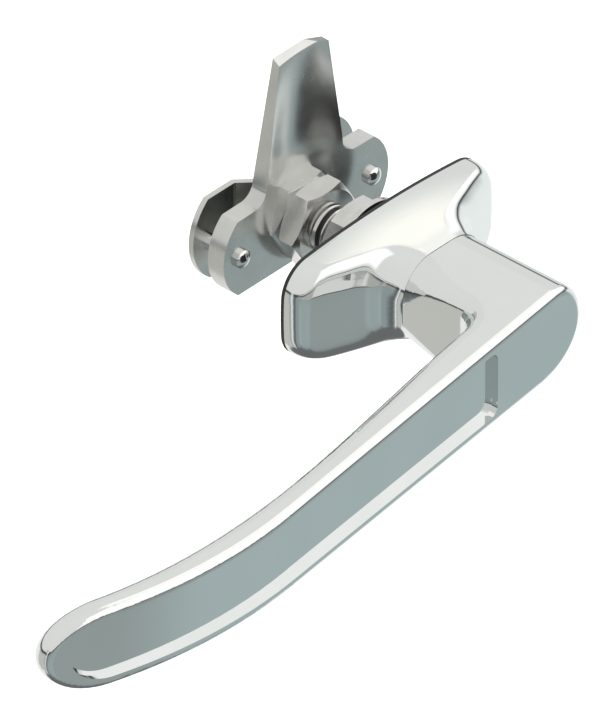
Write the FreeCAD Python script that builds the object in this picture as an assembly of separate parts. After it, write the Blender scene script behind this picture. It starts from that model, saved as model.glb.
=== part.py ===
import FreeCAD, Part
import math
import os

from FreeCAD import Vector

# Cam latch with an L handle, a flared cover plate and a double cam with two rod pins.
# Millimetres. The spindle lies on the Y axis, the handle side is -Y and the cam side is +Y.
# Y = 0 is the face of the door that the gasket presses on. X is to the right, Z is up.

# Door and seal
DOOR_THICKNESS = 2.1
GASKET_THICKNESS = 0.8
GASKET_BORE_CLEARANCE = 0.4

# Cover plate, the flared casting on the door
BASE_HALF_LENGTH = 28.0
BASE_HALF_HEIGHT = 11.9
BASE_HEIGHT = 15.0
BASE_SIDE_RADIUS = 219.0
BASE_END_RADIUS = 90.0
BASE_CORNER_RADIUS = 7.0
BASE_RIM_HEIGHT = 0.6
BASE_RIM_RADIUS = 4.5
BASE_COVE_RADIUS = 7.0
BASE_NECK_CORNER_RADIUS = 8.2
BASE_WALL = 2.4
BASE_BOSS_RADIUS = 10.0

# Neck of the handle, which turns on the cover plate
NECK_HALF_WIDTH = 11.3
NECK_HALF_HEIGHT = 9.6
NECK_SEAM = 0.15
HUB_CORNER_RADIUS = 8.6
HUB_LOWER_SPAN = 12.3

# Lever, seen from above: a straight run, a gentle bend towards the door and a straight end
LEVER_FRONT_AT_AXIS = 42.5
LEVER_ANGLE = 6.8
LEVER_BEND_START = 82.0
LEVER_BEND_RADIUS = 110.0
LEVER_BEND_TURN = 30.0
LEVER_REACH = 140.0
LEVER_THICKNESS_ROOT = 8.9
LEVER_THICKNESS_BEND = 7.0
LEVER_THICKNESS_TIP = 6.8
LEVER_HALF_HEIGHT_TIP = 8.9
LEVER_TIP_SPAN = 13.0
LEVER_FRONT_FILLET = 1.6
NECK_FILLET = 7.8
LEVER_REAR_FILLET = 3.3
LEVER_INNER_CORNER = 6.0

# Long shallow pocket in the front of the lever
POCKET_DEPTH = 1.5
POCKET_START = 16.0
POCKET_TIP_RIM = 4.4
POCKET_EDGE_RIM = 2.3
POCKET_END_CORNER = 2.2

# Threaded bush that clamps the cover plate, and the nut and washer behind the door
THREAD_RADIUS = 5.0
BUSH_HEAD_RADIUS = 6.2
BUSH_HEAD_THICKNESS = 4.0
BUSH_HEAD_DEPTH = 2.6
BUSH_REACH = 11.6
SPINDLE_RADIUS = 3.5
SPINDLE_CLEARANCE = 0.05
WASHER_RADIUS = 10.5
WASHER_THICKNESS = 1.2
WASHER_BORE_CLEARANCE = 0.15
NUT_ACROSS_FLATS = 16.0
NUT_THICKNESS = 5.0
NUT_CHAMFER = 30.0
MOUNTING_NUT_TURN = 8.0

# Spindle, its seal, its thrust washer and the pin that holds it in the neck
SHOULDER_GAP = 0.6
THRUST_WASHER_THICKNESS = 0.5
THRUST_WASHER_RADIUS = 4.2
SPINDLE_DEPTH_IN_NECK = 20.0
SEAL_SECTION_RADIUS = 0.72
SEAL_CLEARANCE = 0.02
SEAL_DEPTH = 6.0
NECK_PIN_RADIUS = 1.5
NECK_PIN_LENGTH = 12.0
NECK_PIN_INSET = 0.2
NECK_PIN_FROM_SEAM = 10.0

# Stop lug under the neck and its groove in the cover plate
TURN_RANGE = 90.0
STOP_INNER_RADIUS = 6.5
STOP_OUTER_RADIUS = 8.4
STOP_DEPTH = 1.8
STOP_HALF_ANGLE = 11.0
STOP_CLEARANCE = 0.3
STOP_ANGLE_CLEARANCE = 2.0
STOP_DIRECTION = 45.0

# Cam: a plate with two ears and a tongue, dished round a hexagon boss
CAM_FRONT = 18.9
CAM_THICKNESS = 4.0
CAM_BOTTOM = 8.4
CAM_BOTTOM_HALF = 19.1
CAM_EAR_HALF = 23.4
CAM_EAR_WIDEST_Z = 1.0
CAM_EAR_TOP = 8.7
CAM_EAR_TOP_HALF = 19.4
CAM_TONGUE_ROOT_HALF = 11.1
CAM_TONGUE_TIP_HALF = 6.9
CAM_TONGUE_TIP = 37.8
CAM_TONGUE_ROOT_FILLET = 3.2
CAM_TAPER_START = 12.0
CAM_TIP_THICKNESS = 1.8
CAM_TIP_LEAN = 0.6
CAM_TIP_RISE = 1.05
CAM_TIP_CUT_FRONT_X = 4.4
CAM_TIP_CUT_BACK_X = 1.9
CAM_TIP_CUT_DROP = 1.0
CAM_DISH_DEPTH = 2.9
CAM_DISH_HALF_WIDTH = 11.0
CAM_DISH_HALF_LENGTH = 14.0
CAM_DISH_CENTRE_Z = 6.4
CAM_CHANNEL_DEPTH = 2.0
CAM_CHANNEL_HALF_WIDTH = 6.8
CAM_CHANNEL_HALF_LENGTH = 20.5
CAM_CHANNEL_CENTRE_Z = 17.0
CAM_BOSS_START = 18.4
CAM_SPIGOT_RADIUS = 6.0
CAM_SPIGOT_HEIGHT = 1.7
SPINDLE_END_INSET = 0.4

# Rear strap and rod pins
ROD_GAP = 4.2
STRAP_THICKNESS = 1.2
STRAP_BEND_X = 11.2
STRAP_BEND_RADIUS = 0.8
STRAP_EAR_HALF = 22.8
STRAP_EAR_TOP = 9.7
STRAP_EAR_TOP_HALF = 18.6
STRAP_BOTTOM = 9.0
STRAP_BOTTOM_HALF = 17.6
STRAP_CORNER_RADIUS = 3.0
ROD_PIN_X = 18.5
ROD_PIN_RADIUS = 1.65
ROD_PIN_HEAD_RADIUS = 1.9
ROD_PIN_HEAD_HEIGHT = 1.7
ROD_PIN_CROWN = 0.9
ROD_PIN_PEEN_RADIUS = 2.1
ROD_PIN_PEEN = 0.5

Y_AXIS = Vector(0, 1, 0)
BASE_FRONT = -(GASKET_THICKNESS + BASE_HEIGHT)
NECK_START = BASE_FRONT - NECK_SEAM
CAM_BACK = CAM_FRONT + CAM_THICKNESS
STRAP_FRONT = CAM_BACK + ROD_GAP
SHOULDER_Y = BUSH_REACH + SHOULDER_GAP
SPINDLE_TAIL = CAM_BACK + CAM_SPIGOT_HEIGHT - SPINDLE_END_INSET
JAM_NUT_START = CAM_BOSS_START - NUT_THICKNESS
NECK_PIN_Y = NECK_START - NECK_PIN_FROM_SEAM


def point(x, y, z):
    return Vector(x, y, z)


def line(a, b):
    return Part.LineSegment(a, b).toShape()


def arc(a, mid, b):
    return Part.Arc(a, mid, b).toShape()


def face_of(edges):
    return Part.Face(Part.Wire(edges))


def cylinder_y(radius, start, end, x=0.0, z=0.0):
    return Part.makeCylinder(radius, end - start, point(x, start, z), Y_AXIS)


def ring_y(inner, outer, start, end):
    return cylinder_y(outer, start, end).cut(cylinder_y(inner, start - 1, end + 1))


def revolve_y(profile):
    """Turn a closed profile of (radius, y) corners round the spindle axis."""
    corners = [point(r, y, 0) for r, y in profile]
    wire = Part.makePolygon(corners + corners[:1])
    return Part.Face(wire).revolve(point(0, 0, 0), Y_AXIS, 360)


def bulged_section(y, half_length, half_height, corner_radius):
    """Rounded rectangle in the plane Y = y, whose four sides are slightly convex arcs."""
    side_centre_z = half_height - BASE_SIDE_RADIUS
    end_centre_x = half_length - BASE_END_RADIUS
    to_side = BASE_SIDE_RADIUS - corner_radius
    to_end = BASE_END_RADIUS - corner_radius
    spread = math.hypot(end_centre_x, side_centre_z)
    along = (to_side**2 - to_end**2 + spread**2) / (2 * spread)
    across = math.sqrt(to_side**2 - along**2)
    ux, uz = end_centre_x / spread, -side_centre_z / spread
    corner_x = ux * along + uz * across
    corner_z = side_centre_z + uz * along - ux * across
    side_dir = Vector(corner_x, 0, corner_z - side_centre_z).normalize()
    end_dir = Vector(corner_x - end_centre_x, 0, corner_z).normalize()
    mid_dir = (side_dir + end_dir).normalize()
    centre = Vector(corner_x, y, corner_z)
    on_side = centre + side_dir * corner_radius
    on_end = centre + end_dir * corner_radius
    on_corner = centre + mid_dir * corner_radius

    def at(p, sx, sz):
        return Vector(p.x * sx, y, p.z * sz)

    top = Vector(0, y, half_height)
    right = Vector(half_length, y, 0)
    return Part.Wire([
        arc(at(on_side, -1, 1), top, at(on_side, 1, 1)),
        arc(at(on_side, 1, 1), at(on_corner, 1, 1), at(on_end, 1, 1)),
        arc(at(on_end, 1, 1), right, at(on_end, 1, -1)),
        arc(at(on_end, 1, -1), at(on_corner, 1, -1), at(on_side, 1, -1)),
        arc(at(on_side, 1, -1), at(top, 1, -1), at(on_side, -1, -1)),
        arc(at(on_side, -1, -1), at(on_corner, -1, -1), at(on_end, -1, -1)),
        arc(at(on_end, -1, -1), at(right, -1, 1), at(on_end, -1, 1)),
        arc(at(on_end, -1, 1), at(on_corner, -1, 1), at(on_side, -1, 1)),
    ])


def trumpet_stations():
    """Half lengths of the cover plate along Y: an upright rim, a sloping wing and a hollow cove."""
    rim_x = BASE_HALF_LENGTH - BASE_RIM_RADIUS
    rim_y = -GASKET_THICKNESS - BASE_RIM_HEIGHT
    cove_x = NECK_HALF_WIDTH + BASE_COVE_RADIUS
    dx, dy = cove_x - rim_x, BASE_FRONT - rim_y
    reach = math.hypot(dx, dy)
    lean = math.acos((BASE_RIM_RADIUS + BASE_COVE_RADIUS) / reach)
    slope = math.atan2(dy, dx) + lean
    stations = [(-GASKET_THICKNESS, BASE_HALF_LENGTH)]
    for share in (0.0, 0.3, 0.6, 0.85, 1.0):
        turn = slope * share
        stations.append((rim_y + BASE_RIM_RADIUS * math.sin(turn), rim_x + BASE_RIM_RADIUS * math.cos(turn)))
    rim_end = stations[-1]
    cove_start = (BASE_FRONT - BASE_COVE_RADIUS * math.sin(slope), cove_x - BASE_COVE_RADIUS * math.cos(slope))
    for share in (0.35, 0.7):
        stations.append(tuple(a + (b - a) * share for a, b in zip(rim_end, cove_start)))
    for share in (1.0, 0.8, 0.55, 0.28, 0.0):
        turn = math.radians(180) + slope * share
        stations.append((BASE_FRONT + BASE_COVE_RADIUS * math.sin(turn), cove_x + BASE_COVE_RADIUS * math.cos(turn)))
    return stations


def trumpet(inset):
    """Solid of the cover plate, or of its cored inside when it is drawn in by a wall."""
    wires = []
    for y, half_length in trumpet_stations():
        share = (y + GASKET_THICKNESS) / (BASE_FRONT + GASKET_THICKNESS)
        half_height = BASE_HALF_HEIGHT + (NECK_HALF_HEIGHT - BASE_HALF_HEIGHT) * share**2
        corner = BASE_CORNER_RADIUS + (BASE_NECK_CORNER_RADIUS - BASE_CORNER_RADIUS) * share
        wires.append(bulged_section(y + inset, half_length - inset, half_height - inset, corner - inset))
    return Part.makeLoft(wires, True, False)


def stop_sector(inner, outer, start, end, from_angle, to_angle):
    """Ring sector round the spindle; angles in degrees from +X towards -Z."""
    ring = ring_y(inner, outer, start, end)
    far = outer * 3
    steps = [from_angle + (to_angle - from_angle) * i / 4 for i in range(5)]
    rim = [point(far * math.cos(math.radians(a)), start, -far * math.sin(math.radians(a))) for a in steps]
    wedge = Part.Face(Part.makePolygon([point(0, start, 0)] + rim + [point(0, start, 0)]))
    return ring.common(wedge.extrude(point(0, end - start, 0)))


def make_base():
    body = trumpet(0.0)
    cavity = trumpet(BASE_WALL)
    cavity = cavity.cut(cylinder_y(BASE_BOSS_RADIUS, BASE_FRONT, BASE_WALL + 2))
    body = body.cut(cavity)
    body = body.cut(cylinder_y(THREAD_RADIUS, BASE_FRONT - 1, 1))
    head_end = BASE_FRONT + BUSH_HEAD_DEPTH + BUSH_HEAD_THICKNESS
    body = body.cut(cylinder_y(BUSH_HEAD_RADIUS, BASE_FRONT - 1, head_end))
    play = STOP_HALF_ANGLE + STOP_ANGLE_CLEARANCE
    groove = stop_sector(
        THREAD_RADIUS, STOP_OUTER_RADIUS + STOP_CLEARANCE,
        BASE_FRONT - 1, BASE_FRONT + STOP_DEPTH + STOP_CLEARANCE,
        STOP_DIRECTION - TURN_RANGE - play, STOP_DIRECTION + play)
    return body.cut(groove)


def make_gasket():
    outline = bulged_section(-GASKET_THICKNESS, BASE_HALF_LENGTH, BASE_HALF_HEIGHT, BASE_CORNER_RADIUS)
    pad = Part.Face(outline).extrude(point(0, GASKET_THICKNESS, 0))
    return pad.cut(cylinder_y(THREAD_RADIUS + GASKET_BORE_CLEARANCE, -GASKET_THICKNESS - 1, 1))


def make_bush():
    head_start = BASE_FRONT + BUSH_HEAD_DEPTH
    head_end = head_start + BUSH_HEAD_THICKNESS
    chamfer = 0.6
    inner = SPINDLE_RADIUS + SPINDLE_CLEARANCE
    return revolve_y([
        (inner, head_start), (BUSH_HEAD_RADIUS, head_start), (BUSH_HEAD_RADIUS, head_end),
        (THREAD_RADIUS, head_end), (THREAD_RADIUS, BUSH_REACH - chamfer),
        (THREAD_RADIUS - chamfer, BUSH_REACH), (inner, BUSH_REACH)])


def hexagon_prism(across_flats, start, end, turn):
    """Hexagon with two level flats, turned about the spindle by the given degrees."""
    corner = across_flats / math.sqrt(3)
    points = []
    for i in range(7):
        a = math.radians(60 * i + turn)
        points.append(point(corner * math.cos(a), start, corner * math.sin(a)))
    return Part.Face(Part.makePolygon(points)).extrude(point(0, end - start, 0))


def chamfer_blank(across_flats, start, end, both_ends):
    """Turned blank whose cones cut the corners of a hexagon."""
    flat = across_flats / 2 * 0.97
    corner = across_flats / math.sqrt(3) + 0.4
    drop = (corner - flat) * math.tan(math.radians(NUT_CHAMFER))
    rear = drop if both_ends else 0.0
    profile = [(0, start), (flat, start), (corner, start + drop), (corner, end - rear)]
    profile.append((flat if both_ends else corner, end))
    profile.append((0, end))
    if not both_ends:
        profile.pop(3)
    return revolve_y(profile)


def make_nut(start, turn):
    end = start + NUT_THICKNESS
    body = hexagon_prism(NUT_ACROSS_FLATS, start, end, turn)
    body = body.common(chamfer_blank(NUT_ACROSS_FLATS, start, end, True))
    return body.cut(cylinder_y(THREAD_RADIUS, start - 1, end + 1))


def make_washer():
    start = DOOR_THICKNESS
    return ring_y(THREAD_RADIUS + WASHER_BORE_CLEARANCE, WASHER_RADIUS, start, start + WASHER_THICKNESS)


def seal_centre():
    return BASE_FRONT + SEAL_DEPTH


def make_spindle():
    """Turned spindle: plain journal, seal groove, shoulder and a threaded end for the cam."""
    head = NECK_START - SPINDLE_DEPTH_IN_NECK
    tail = SPINDLE_TAIL
    seal_y = seal_centre()
    groove = SEAL_SECTION_RADIUS + SEAL_CLEARANCE
    floor = SPINDLE_RADIUS - 2 * groove
    chamfer = 0.5
    shaft = revolve_y([
        (0, head), (SPINDLE_RADIUS - chamfer, head), (SPINDLE_RADIUS, head + chamfer),
        (SPINDLE_RADIUS, seal_y - groove), (floor, seal_y - groove),
        (floor, seal_y + groove), (SPINDLE_RADIUS, seal_y + groove),
        (SPINDLE_RADIUS, SHOULDER_Y), (THREAD_RADIUS, SHOULDER_Y),
        (THREAD_RADIUS, tail - chamfer), (THREAD_RADIUS - chamfer, tail), (0, tail)])
    return shaft.cut(make_neck_pin())


def make_neck_pin():
    """Plain pin pressed in from under the neck, through the spindle."""
    foot = NECK_PIN_INSET - NECK_HALF_HEIGHT
    return Part.makeCylinder(NECK_PIN_RADIUS, NECK_PIN_LENGTH, point(0, NECK_PIN_Y, foot), Vector(0, 0, 1))


def make_seal():
    centre = SPINDLE_RADIUS - SEAL_SECTION_RADIUS - SEAL_CLEARANCE
    return Part.makeTorus(centre, SEAL_SECTION_RADIUS, point(0, seal_centre(), 0), Y_AXIS)


def make_thrust_washer():
    start = BUSH_REACH + (SHOULDER_GAP - THRUST_WASHER_THICKNESS) / 2
    inner = SPINDLE_RADIUS + SPINDLE_CLEARANCE
    return ring_y(inner, THRUST_WASHER_RADIUS, start, start + THRUST_WASHER_THICKNESS)


def lever_bend():
    """Start, middle and end of the bend in the lever's front line, seen from above."""
    a0 = math.radians(LEVER_ANGLE)
    a1 = math.radians(LEVER_ANGLE - LEVER_BEND_TURN)
    start = Vector(-LEVER_BEND_START, -LEVER_FRONT_AT_AXIS - LEVER_BEND_START * math.tan(a0), 0)
    centre = start + Vector(-math.sin(a0), math.cos(a0), 0) * LEVER_BEND_RADIUS
    mid_angle = (a0 + a1) / 2
    mid = centre + Vector(math.sin(mid_angle), -math.cos(mid_angle), 0) * LEVER_BEND_RADIUS
    end = centre + Vector(math.sin(a1), -math.cos(a1), 0) * LEVER_BEND_RADIUS
    return start, mid, end


def front_line(back_by):
    """Edges of the lever's front line from the hub to past the tip, moved back by a depth."""
    shift = Vector(0, back_by, 0)
    start, mid, end = [p + shift for p in lever_bend()]
    near = Vector(NECK_HALF_WIDTH, -LEVER_FRONT_AT_AXIS + NECK_HALF_WIDTH * math.tan(math.radians(LEVER_ANGLE)), 0)
    near = near + shift
    fall = math.tan(math.radians(LEVER_BEND_TURN - LEVER_ANGLE))
    tip = Vector(-LEVER_REACH, end.y + (LEVER_REACH + end.x) * fall, 0)
    return [line(near, start), arc(start, mid, end), line(end, tip)], near, tip


def rear_line(tip):
    """Smooth rear line of the lever, from the tip back to the root beside the neck."""
    start, mid, end = lever_bend()
    root_y = -LEVER_FRONT_AT_AXIS - NECK_HALF_WIDTH * math.tan(math.radians(LEVER_ANGLE)) + LEVER_THICKNESS_ROOT
    points = [
        tip + Vector(0, LEVER_THICKNESS_TIP, 0),
        mid + Vector(0, LEVER_THICKNESS_BEND, 0),
        start + Vector(0, LEVER_THICKNESS_BEND, 0),
        Vector(-NECK_HALF_WIDTH, root_y, 0)]
    curve = Part.BSplineCurve()
    curve.interpolate(points)
    return curve.toShape(), points[0], points[-1]


def plan_solid():
    """L outline from above, drawn up to a tall prism."""
    front, near, tip = front_line(0.0)
    rear, rear_tip, rear_root = rear_line(tip)
    neck_right = Vector(NECK_HALF_WIDTH, NECK_START, 0)
    neck_left = Vector(-NECK_HALF_WIDTH, NECK_START, 0)
    edges = front + [
        line(tip, rear_tip), rear, line(rear_root, neck_left),
        line(neck_left, neck_right), line(neck_right, near)]
    face = face_of(Part.__sortEdges__(edges))
    tall = NECK_HALF_HEIGHT * 3
    face.translate(Vector(0, 0, -tall / 2))
    prism = face.extrude(Vector(0, 0, tall))
    corner = [e for e in prism.Edges if is_upright(e, rear_root)]
    return prism.makeFillet(LEVER_INNER_CORNER, corner)


def is_upright(edge, at):
    a, b = edge.Vertexes[0].Point, edge.Vertexes[-1].Point
    return abs(a.x - at.x) + abs(a.y - at.y) < 0.01 and abs(b.x - at.x) + abs(b.y - at.y) < 0.01


def quarter_ellipse(centre, end_x, end_z):
    """Quarter of an ellipse in the plane of the front view, from its X end to its Z end."""
    wide, tall = end_x - centre.x, end_z - centre.z
    matrix = FreeCAD.Matrix()
    matrix.scale(wide, 1, tall)
    arc_edge = arc(point(1, 0, 0), point(math.sqrt(0.5), 0, math.sqrt(0.5)), point(0, 0, 1))
    scaled = arc_edge.transformGeometry(matrix)
    scaled.translate(centre)
    return scaled


def half_height_at(x):
    """Half height of the handle at a given X: full at the hub, less towards the tip."""
    share = min(max(-x / (LEVER_REACH - LEVER_TIP_SPAN), 0.0), 1.0)
    return NECK_HALF_HEIGHT + (LEVER_HALF_HEIGHT_TIP - NECK_HALF_HEIGHT) * share


def elevation_half(side):
    """Upper or lower half of the front outline, with its part of the round hub and tip."""
    front = -LEVER_FRONT_AT_AXIS * 1.6
    tip_x = -LEVER_REACH + LEVER_TIP_SPAN

    def at(x, z):
        return point(x, front, side * z)

    tip = quarter_ellipse(at(tip_x, 0), -LEVER_REACH, side * LEVER_HALF_HEIGHT_TIP)
    if side > 0:
        bend_x = NECK_HALF_WIDTH - HUB_CORNER_RADIUS
        bend_z = NECK_HALF_HEIGHT - HUB_CORNER_RADIUS
        diagonal = HUB_CORNER_RADIUS * math.sqrt(0.5)
        hub = [
            arc(at(bend_x, NECK_HALF_HEIGHT), at(bend_x + diagonal, bend_z + diagonal), at(NECK_HALF_WIDTH, bend_z)),
            line(at(NECK_HALF_WIDTH, bend_z), at(NECK_HALF_WIDTH, 0))]
        hub_x = bend_x
    else:
        hub_x = NECK_HALF_WIDTH - HUB_LOWER_SPAN
        hub = [quarter_ellipse(at(hub_x, 0), NECK_HALF_WIDTH, side * NECK_HALF_HEIGHT)]
    edges = [line(at(-LEVER_REACH, 0), at(NECK_HALF_WIDTH, 0)), tip]
    edges.append(line(at(tip_x, LEVER_HALF_HEIGHT_TIP), at(0 if side > 0 else hub_x, NECK_HALF_HEIGHT)))
    if side > 0:
        edges.append(line(at(0, NECK_HALF_HEIGHT), at(hub_x, NECK_HALF_HEIGHT)))
    return face_of(Part.__sortEdges__(edges + hub)).extrude(Vector(0, -front, 0))


def pocket_solid():
    """Shallow pocket that follows the lever's front line, with a round far end."""
    front = -LEVER_FRONT_AT_AXIS * 1.6
    tip_x = -LEVER_REACH + LEVER_TIP_SPAN
    near_half = half_height_at(-POCKET_START) - POCKET_EDGE_RIM
    far_half = LEVER_HALF_HEIGHT_TIP - POCKET_EDGE_RIM
    end_x = -LEVER_REACH + POCKET_TIP_RIM

    def at(x, z):
        return point(x, front, z)

    edges = [
        line(at(tip_x, far_half), at(-POCKET_START, near_half)),
        line(at(-POCKET_START, near_half), at(-POCKET_START, -near_half)),
        line(at(-POCKET_START, -near_half), at(tip_x, -far_half)),
        quarter_ellipse(at(tip_x, 0), end_x, far_half),
        quarter_ellipse(at(tip_x, 0), end_x, -far_half)]
    column = face_of(Part.__sortEdges__(edges)).extrude(Vector(0, -front, 0))
    column = column.makeFillet(POCKET_END_CORNER, [e for e in column.Edges if is_pocket_corner(e, near_half)])
    floor, near, tip = front_line(POCKET_DEPTH)
    out = Vector(0, front, 0)
    edges = floor + [line(tip, tip + out), line(tip + out, near + out), line(near + out, near)]
    slab = face_of(Part.__sortEdges__(edges))
    slab.translate(Vector(0, 0, -NECK_HALF_HEIGHT))
    return column.common(slab.extrude(Vector(0, 0, 2 * NECK_HALF_HEIGHT)))


def is_pocket_corner(edge, half):
    a, b = edge.Vertexes[0].Point, edge.Vertexes[-1].Point
    level = abs(a.x + POCKET_START) < 0.01 and abs(b.x + POCKET_START) < 0.01
    return level and abs(abs(a.z) - half) < 0.01 and abs(a.z - b.z) < 0.01


def lies_on(edge, test):
    first, last = edge.ParameterRange
    steps = [first + (last - first) * share for share in (0.1, 0.5, 0.9)]
    return all(test(edge.valueAt(step)) for step in steps)


def front_at(x):
    """Y of the lever's front line at a given X."""
    start, mid, end = lever_bend()
    if x >= start.x:
        return -LEVER_FRONT_AT_AXIS + x * math.tan(math.radians(LEVER_ANGLE))
    if x <= end.x:
        return end.y + (end.x - x) * math.tan(math.radians(LEVER_BEND_TURN - LEVER_ANGLE))
    turn = math.radians(LEVER_ANGLE)
    centre = start + Vector(-math.sin(turn), math.cos(turn), 0) * LEVER_BEND_RADIUS
    return centre.y - math.sqrt(LEVER_BEND_RADIUS**2 - (x - centre.x)**2)


def handle_half(side):
    """Half of the handle above or below the middle plane, with its rounded edges."""
    body = plan_solid().common(elevation_half(side))

    def is_neck_edge(p):
        return abs(p.x + NECK_HALF_WIDTH) < 0.01 and abs(abs(p.z) - half_height_at(p.x)) < 0.05 and p.y > front_at(p.x) + 1

    def is_front_edge(p):
        return p.y < front_at(p.x) + 0.02 and abs(p.z) > 0.01

    neck = [e for e in body.Edges if lies_on(e, is_neck_edge)]
    body = body.makeFillet(LEVER_REAR_FILLET, NECK_FILLET, neck)
    front = [e for e in body.Edges if lies_on(e, is_front_edge)]
    return body.makeFillet(LEVER_FRONT_FILLET, front)


def make_handle():
    body = handle_half(1).fuse(handle_half(-1))
    body = body.cut(pocket_solid())
    lug = stop_sector(
        STOP_INNER_RADIUS, STOP_OUTER_RADIUS, NECK_START - 1, BASE_FRONT + STOP_DEPTH,
        STOP_DIRECTION - STOP_HALF_ANGLE, STOP_DIRECTION + STOP_HALF_ANGLE)
    body = body.fuse(lug)
    body = body.cut(cylinder_y(SPINDLE_RADIUS, NECK_START - SPINDLE_DEPTH_IN_NECK, 0))
    mouth = point(0, NECK_PIN_Y, NECK_PIN_INSET - NECK_HALF_HEIGHT - 1)
    tunnel = Part.makeCylinder(NECK_PIN_RADIUS, NECK_PIN_LENGTH + 1, mouth, Vector(0, 0, 1))
    return body.cut(tunnel).removeSplitter()


def prism_y(edges, start, end):
    return face_of(edges).extrude(point(0, end - start, 0))


def cam_outline(start, end):
    """Plate with two round ears and a tapering tongue, as a prism along Y."""
    lean = (CAM_TONGUE_ROOT_HALF - CAM_TONGUE_TIP_HALF) / (CAM_TONGUE_TIP - CAM_EAR_TOP)
    over = CAM_TONGUE_TIP + 4
    over_half = CAM_TONGUE_TIP_HALF - 4 * lean

    def at(x, z):
        return point(x, start, z)

    edges = [
        line(at(-CAM_BOTTOM_HALF, -CAM_BOTTOM), at(CAM_BOTTOM_HALF, -CAM_BOTTOM)),
        arc(at(CAM_BOTTOM_HALF, -CAM_BOTTOM), at(CAM_EAR_HALF, CAM_EAR_WIDEST_Z), at(CAM_EAR_TOP_HALF, CAM_EAR_TOP)),
        line(at(CAM_EAR_TOP_HALF, CAM_EAR_TOP), at(CAM_TONGUE_ROOT_HALF, CAM_EAR_TOP)),
        line(at(CAM_TONGUE_ROOT_HALF, CAM_EAR_TOP), at(over_half, over)),
        line(at(over_half, over), at(-over_half, over)),
        line(at(-over_half, over), at(-CAM_TONGUE_ROOT_HALF, CAM_EAR_TOP)),
        line(at(-CAM_TONGUE_ROOT_HALF, CAM_EAR_TOP), at(-CAM_EAR_TOP_HALF, CAM_EAR_TOP)),
        arc(at(-CAM_EAR_TOP_HALF, CAM_EAR_TOP), at(-CAM_EAR_HALF, CAM_EAR_WIDEST_Z), at(-CAM_BOTTOM_HALF, -CAM_BOTTOM)),
    ]
    prism = prism_y(edges, start, end)
    roots = [e for e in prism.Edges if is_along_y(e, CAM_TONGUE_ROOT_HALF, CAM_EAR_TOP)]
    return prism.makeFillet(CAM_TONGUE_ROOT_FILLET, roots)


def is_along_y(edge, half_x, z):
    ends = [v.Point for v in edge.Vertexes]
    return all(abs(abs(p.x) - half_x) < 0.01 and abs(p.z - z) < 0.01 for p in ends)


def cam_side():
    """Side view of the cam: an even plate whose tongue thins towards its sloping end."""
    half = CAM_EAR_HALF + 1
    tip_front = CAM_FRONT + CAM_TIP_LEAN
    corners = [
        (CAM_FRONT, -CAM_BOTTOM - 1), (CAM_BACK, -CAM_BOTTOM - 1), (CAM_BACK, CAM_TAPER_START),
        (tip_front + CAM_TIP_THICKNESS, CAM_TONGUE_TIP + CAM_TIP_RISE), (tip_front, CAM_TONGUE_TIP),
        (CAM_FRONT, CAM_TAPER_START)]
    points = [point(-half, y, z) for y, z in corners]
    return Part.Face(Part.makePolygon(points + points[:1])).extrude(point(2 * half, 0, 0))


def cam_tip_cut():
    """Block that bevels the far upper corner of the tongue."""
    front = CAM_FRONT + CAM_TIP_LEAN
    back = front + CAM_TIP_THICKNESS
    a = point(CAM_TIP_CUT_FRONT_X, front, CAM_TONGUE_TIP)
    b = point(CAM_TONGUE_TIP_HALF, front, CAM_TONGUE_TIP - CAM_TIP_CUT_DROP)
    c = point(CAM_TIP_CUT_BACK_X, back, CAM_TONGUE_TIP + CAM_TIP_RISE)
    along = (b - a).normalize()
    over = (c - a).normalize()
    normal = along.cross(over).normalize()
    if normal.z < 0:
        normal = normal * -1
    size = CAM_EAR_HALF
    corners = [
        a - along * size - over * size, a + along * size - over * size,
        a + along * size + over * size, a - along * size + over * size]
    return Part.Face(Part.makePolygon(corners + corners[:1])).extrude(normal * size)


def ellipsoid(half_x, half_y, half_z, centre):
    matrix = FreeCAD.Matrix()
    matrix.scale(half_x, half_y, half_z)
    ball = Part.makeSphere(1.0).transformGeometry(matrix)
    ball.translate(centre)
    return ball


def make_cam():
    body = cam_outline(CAM_FRONT - 1, CAM_BACK + 1).common(cam_side())
    body = body.cut(cam_tip_cut())
    dish = ellipsoid(CAM_DISH_HALF_WIDTH, CAM_DISH_DEPTH, CAM_DISH_HALF_LENGTH, point(0, CAM_FRONT, CAM_DISH_CENTRE_Z))
    channel = ellipsoid(
        CAM_CHANNEL_HALF_WIDTH, CAM_CHANNEL_DEPTH, CAM_CHANNEL_HALF_LENGTH, point(0, CAM_FRONT, CAM_CHANNEL_CENTRE_Z))
    body = body.cut(dish).cut(channel)
    boss = hexagon_prism(NUT_ACROSS_FLATS, CAM_BOSS_START, CAM_BACK, 0)
    boss = boss.common(chamfer_blank(NUT_ACROSS_FLATS, CAM_BOSS_START, CAM_BACK, False))
    body = body.fuse(boss)
    body = body.fuse(cylinder_y(CAM_SPIGOT_RADIUS, CAM_BACK - 1, CAM_BACK + CAM_SPIGOT_HEIGHT))
    body = body.cut(cylinder_y(THREAD_RADIUS, CAM_FRONT - 1, CAM_BACK + CAM_SPIGOT_HEIGHT + 1))
    for side in (-1, 1):
        body = body.cut(cylinder_y(ROD_PIN_RADIUS, CAM_FRONT - 1, CAM_BACK + 1, side * ROD_PIN_X))
    return body.removeSplitter()


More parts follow.
